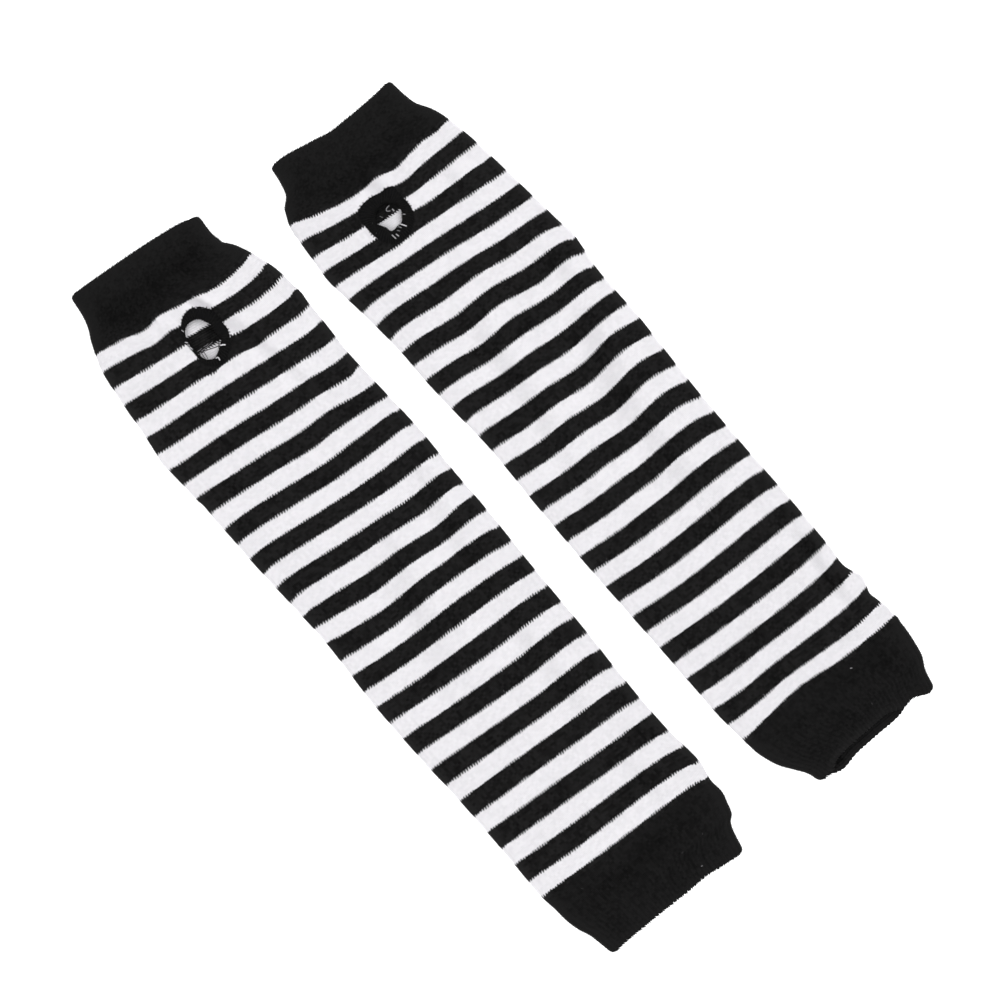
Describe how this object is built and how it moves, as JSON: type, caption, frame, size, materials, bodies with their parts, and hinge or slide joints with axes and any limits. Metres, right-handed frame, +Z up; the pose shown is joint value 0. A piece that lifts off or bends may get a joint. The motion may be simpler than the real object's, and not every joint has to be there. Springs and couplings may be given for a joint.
{
  "type": "pair of knitted arm warmers",
  "caption": "Striped, tube-knitted fingerless arm warmers with plain elastic cuffs and overlocked thumb holes, lying flat side by side.",
  "frame": {"origin": "on the surface the pair lies on, under the middle of the pair's box", "axes": "+Y along the warmers towards the hand ends, +Z up out of the surface, +X across from the left warmer to the right one"},
  "size_m": [0.1809, 0.3396, 0.006],
  "materials": {
    "striped_knit": "fine plain knit, black and white stripes",
    "cuff_knit": "fine elastic rib knit, black",
    "edge_thread": "overlocked black thread"
  },
  "bodies": {
    "root": {"left_hand_cuff": "cuff_knit", "left_sleeve": "striped_knit", "left_arm_cuff": "cuff_knit", "left_thumb_edge": "edge_thread", "right_hand_cuff": "cuff_knit", "right_sleeve": "striped_knit", "right_arm_cuff": "cuff_knit", "right_thumb_edge": "edge_thread"}
  },
  "joints": []
}
